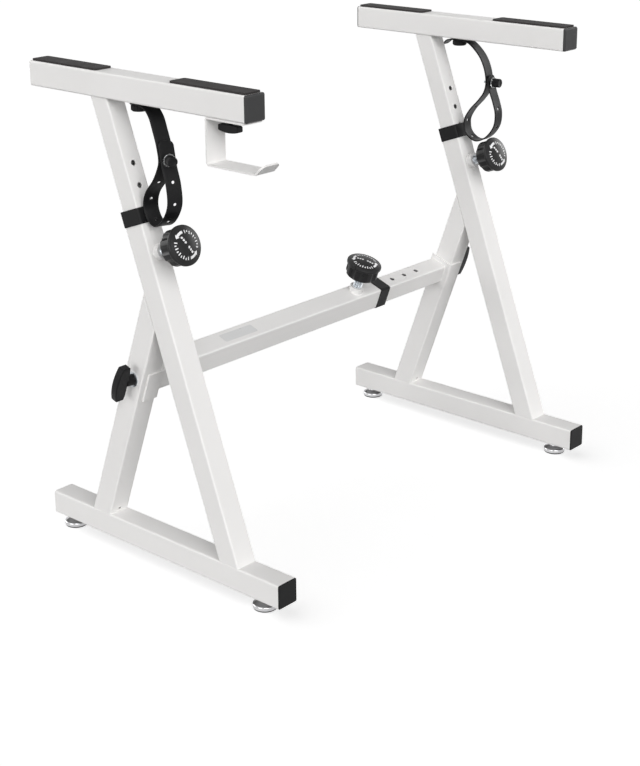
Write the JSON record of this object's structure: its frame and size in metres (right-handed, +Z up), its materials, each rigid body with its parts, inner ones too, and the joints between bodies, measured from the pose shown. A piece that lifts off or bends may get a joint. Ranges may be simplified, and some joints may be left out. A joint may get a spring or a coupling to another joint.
{
  "type": "keyboard stand",
  "caption": "Keyboard stand of square steel tube with slanted side frames, height masts with top beams, a telescoping crossbar, pull-pin locks, straps and a headphone hook.",
  "frame": {"origin": "on the floor, below the middle of the whole stand's bounding box", "axes": "+X along the crossbar to the right side frame, +Y to the rear, away from the player, +Z up"},
  "size_m": [0.9126, 0.528, 0.8045],
  "materials": {
    "white_paint": "satin powder coat",
    "white_plastic": "moulded, slightly rough",
    "black_plastic": "moulded, slightly rough",
    "knob_plastic": "moulded with a printed white scale",
    "grey_plastic": "moulded, satin",
    "pad_rubber": "matt, fine grain",
    "strap_rubber": "satin, slightly ribbed edge",
    "zinc_steel": "bright zinc, threaded",
    "foot_chrome": "polished",
    "spring_steel": "plain"
  },
  "bodies": {
    "left_frame": {"left_base_rail": "white_paint", "left_main_leg": "white_paint", "left_rear_leg": "white_paint", "left_rail_front_cap": "black_plastic", "left_rail_rear_cap": "white_plastic", "left_mast_collar": "black_plastic", "left_bracket": "white_paint", "left_weld_nuts": "zinc_steel", "crossbar_outer_tube": "white_paint", "crossbar_collar": "black_plastic"},
    "right_frame": {"right_base_rail": "white_paint", "right_main_leg": "white_paint", "right_rear_leg": "white_paint", "right_rail_front_cap": "black_plastic", "right_rail_rear_cap": "white_plastic", "right_mast_collar": "black_plastic", "right_bracket": "white_paint", "right_weld_nuts": "zinc_steel", "crossbar_inner_tube": "white_paint"},
    "left_mast": {"left_mast_tube": "white_paint", "left_beam": "white_paint", "left_beam_front_cap": "grey_plastic", "left_beam_rear_cap": "white_plastic", "left_beam_pads": "pad_rubber", "left_strap": "strap_rubber", "headphone_hook": "white_paint"},
    "right_mast": {"right_mast_tube": "white_paint", "right_beam": "white_paint", "right_beam_caps": "grey_plastic", "right_beam_pads": "pad_rubber", "right_strap": "strap_rubber"},
    "hook_screw": {"hook_screw": "black_plastic"},
    "left_lock_sleeve": {"left_lock_sleeve": "zinc_steel", "left_lock_spring": "spring_steel"},
    "left_lock_pull": {"left_lock_pin": "zinc_steel", "left_lock_knob": "knob_plastic"},
    "right_lock_sleeve": {"right_lock_sleeve": "zinc_steel", "right_lock_spring": "spring_steel"},
    "right_lock_pull": {"right_lock_pin": "zinc_steel", "right_lock_knob": "knob_plastic"},
    "crossbar_lock_sleeve": {"crossbar_lock_sleeve": "zinc_steel", "crossbar_lock_spring": "spring_steel"},
    "crossbar_lock_pull": {"crossbar_lock_pin": "zinc_steel", "crossbar_lock_knob": "knob_plastic"},
    "left_clamp": {"left_clamp_handle": "black_plastic", "left_clamp_bolt": "zinc_steel"},
    "right_clamp": {"right_clamp_handle": "black_plastic", "right_clamp_bolt": "zinc_steel"},
    "left_front_foot": {"left_front_foot_pad": "foot_chrome"},
    "left_front_foot_stud": {"left_front_foot_stud": "zinc_steel"},
    "left_rear_foot": {"left_rear_foot_pad": "foot_chrome"},
    "left_rear_foot_stud": {"left_rear_foot_stud": "zinc_steel"},
    "right_front_foot": {"right_front_foot_pad": "foot_chrome"},
    "right_front_foot_stud": {"right_front_foot_stud": "zinc_steel"},
    "right_rear_foot": {"right_rear_foot_pad": "foot_chrome"},
    "right_rear_foot_stud": {"right_rear_foot_stud": "zinc_steel"},
    "left_strap_screw": {"left_strap_screw": "black_plastic"},
    "left_strap_stud": {"left_strap_stud": "black_plastic"},
    "right_strap_screw": {"right_strap_screw": "black_plastic"},
    "right_strap_stud": {"right_strap_stud": "black_plastic"}
  },
  "joints": [
    {"name": "left_height", "type": "slide", "parent": "left_frame", "child": "left_mast", "axis": [0, 0.342, 0.9397], "range_m": [-0.0706, 0.1412], "deforming": ["left_strap"]},
    {"name": "right_height", "type": "slide", "parent": "right_frame", "child": "right_mast", "axis": [0, 0.342, 0.9397], "range_m": [-0.0706, 0.1412], "deforming": ["right_strap"]},
    {"name": "width", "type": "slide", "parent": "left_frame", "child": "right_frame", "axis": [1, 0, 0], "range_m": [-0.1412, 0.0706]},
    {"name": "left_lock_turn", "type": "hinge", "parent": "left_frame", "child": "left_lock_sleeve", "pos_m": [-0.3983, -0.00595, 0.53271], "axis": [0, -0.9397, 0.342], "range_deg": [0, 360]},
    {"name": "left_lock_pull", "type": "slide", "parent": "left_lock_sleeve", "child": "left_lock_pull", "axis": [0, -0.9397, 0.342], "range_m": [0, 0.01], "stiffness_N_per_m": 700, "springref_m": -0.012, "deforming": ["left_lock_spring"]},
    {"name": "right_lock_turn", "type": "hinge", "parent": "right_frame", "child": "right_lock_sleeve", "pos_m": [0.3983, -0.00595, 0.53271], "axis": [0, -0.9397, 0.342], "range_deg": [0, 360]},
    {"name": "right_lock_pull", "type": "slide", "parent": "right_lock_sleeve", "child": "right_lock_pull", "axis": [0, -0.9397, 0.342], "range_m": [0, 0.01], "stiffness_N_per_m": 700, "springref_m": -0.012, "deforming": ["right_lock_spring"]},
    {"name": "crossbar_lock_turn", "type": "hinge", "parent": "left_frame", "child": "crossbar_lock_sleeve", "pos_m": [0.1266, 0.04765, 0.33038], "axis": [0, -0.342, 0.9397], "range_deg": [0, 360]},
    {"name": "crossbar_lock_pull", "type": "slide", "parent": "crossbar_lock_sleeve", "child": "crossbar_lock_pull", "axis": [0, -0.342, 0.9397], "range_m": [0, 0.01], "stiffness_N_per_m": 700, "springref_m": -0.012, "deforming": ["crossbar_lock_spring"]},
    {"name": "left_clamp_turn", "type": "hinge", "parent": "left_frame", "child": "left_clamp", "pos_m": [-0.4183, 0.04665, 0.31735], "axis": [-1, 0, 0], "range_deg": [0, 360]},
    {"name": "right_clamp_turn", "type": "hinge", "parent": "right_frame", "child": "right_clamp", "pos_m": [0.4183, 0.04665, 0.31735], "axis": [1, 0, 0], "range_deg": [0, 360]},
    {"name": "left_front_foot_level", "type": "slide", "parent": "left_frame", "child": "left_front_foot", "axis": [0, 0, -1], "range_m": [0, 0.012]},
    {"name": "left_front_foot_turn", "type": "hinge", "parent": "left_front_foot", "child": "left_front_foot_stud", "pos_m": [-0.3983, -0.2154, 0], "axis": [0, 0, 1], "range_deg": [0, 2880]},
    {"name": "left_rear_foot_level", "type": "slide", "parent": "left_frame", "child": "left_rear_foot", "axis": [0, 0, -1], "range_m": [0, 0.012]},
    {"name": "left_rear_foot_turn", "type": "hinge", "parent": "left_rear_foot", "child": "left_rear_foot_stud", "pos_m": [-0.3983, 0.2326, 0], "axis": [0, 0, 1], "range_deg": [0, 2880]},
    {"name": "right_front_foot_level", "type": "slide", "parent": "right_frame", "child": "right_front_foot", "axis": [0, 0, -1], "range_m": [0, 0.012]},
    {"name": "right_front_foot_turn", "type": "hinge", "parent": "right_front_foot", "child": "right_front_foot_stud", "pos_m": [0.3983, -0.2154, 0], "axis": [0, 0, 1], "range_deg": [0, 2880]},
    {"name": "right_rear_foot_level", "type": "slide", "parent": "right_frame", "child": "right_rear_foot", "axis": [0, 0, -1], "range_m": [0, 0.012]},
    {"name": "right_rear_foot_turn", "type": "hinge", "parent": "right_rear_foot", "child": "right_rear_foot_stud", "pos_m": [0.3983, 0.2326, 0], "axis": [0, 0, 1], "range_deg": [0, 2880]},
    {"name": "left_strap_screw_turn", "type": "hinge", "parent": "left_mast", "child": "left_strap_screw", "pos_m": [-0.3983, 0.0254, 0.7566], "axis": [0, 0, -1], "range_deg": [0, 360]},
    {"name": "left_strap_stud_turn", "type": "hinge", "parent": "left_mast", "child": "left_strap_stud", "pos_m": [-0.3983, -0.0332, 0.6805], "axis": [-0.342, -0.9397, 0], "range_deg": [0, 360]},
    {"name": "right_strap_screw_turn", "type": "hinge", "parent": "right_mast", "child": "right_strap_screw", "pos_m": [0.3983, 0.0254, 0.7566], "axis": [0, 0, -1], "range_deg": [0, 360]},
    {"name": "right_strap_stud_turn", "type": "hinge", "parent": "right_mast", "child": "right_strap_stud", "pos_m": [0.3983, -0.0484, 0.6861], "axis": [0.0872, -0.9962, 0], "range_deg": [0, 360]},
    {"name": "hook_screw_turn", "type": "hinge", "parent": "left_mast", "child": "hook_screw", "pos_m": [-0.3983, -0.166, 0.7585], "axis": [0, 0, -1], "range_deg": [0, 360]}
  ],
  "couplings": [
    {"joint": "left_front_foot_turn", "follows": "left_front_foot_level", "rad_per_m": 4188.8},
    {"joint": "left_rear_foot_turn", "follows": "left_rear_foot_level", "rad_per_m": 4188.8},
    {"joint": "right_front_foot_turn", "follows": "right_front_foot_level", "rad_per_m": 4188.8},
    {"joint": "right_rear_foot_turn", "follows": "right_rear_foot_level", "rad_per_m": 4188.8}
  ]
}
